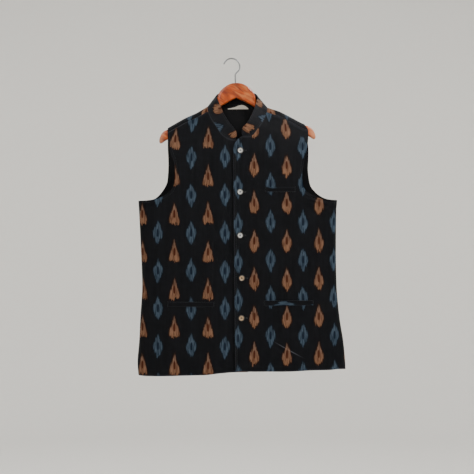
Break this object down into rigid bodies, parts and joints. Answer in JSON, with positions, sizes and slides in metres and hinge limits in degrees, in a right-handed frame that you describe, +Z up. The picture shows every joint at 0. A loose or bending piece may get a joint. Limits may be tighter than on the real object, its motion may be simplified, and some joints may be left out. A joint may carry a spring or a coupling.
{
  "type": "nehru jacket on a hanger",
  "caption": "Sleeveless ikat jacket with a rounded stand collar, buttoned front, chest and lower welt pockets, hanging on a wooden hanger with a wire hook.",
  "frame": {"origin": "underside of the hook's wire at its top, where a rail holds the hanger up, straight above the centre of gravity within a few millimetres", "axes": "+Z up, -Y the jacket's front, +X the wearer's left"},
  "size_m": [0.5824, 0.0884, 0.8882],
  "materials": {
    "ikat_cotton": "woven ikat cotton, matt, near-black ground with brown and pale blue motifs",
    "black_lining": "smooth black lining, faint sheen",
    "horn_button": "horn-look resin, polished rim",
    "woven_label": "bare off-white woven tape",
    "varnished_wood": "clear varnish over red-brown wood",
    "zinc_steel": "bright zinc-plated steel wire"
  },
  "bodies": {
    "root": {"front_right": "ikat_cotton", "front_left": "ikat_cotton", "back": "ikat_cotton", "back_lining": "black_lining", "collar": "ikat_cotton", "chest_welt": "ikat_cotton", "pocket_welt_left": "ikat_cotton", "pocket_welt_right": "ikat_cotton", "neck_label": "woven_label", "button_1": "horn_button", "button_2": "horn_button", "button_3": "horn_button", "button_4": "horn_button", "button_5": "horn_button", "hanger": "varnished_wood", "hook": "zinc_steel"}
  },
  "joints": []
}
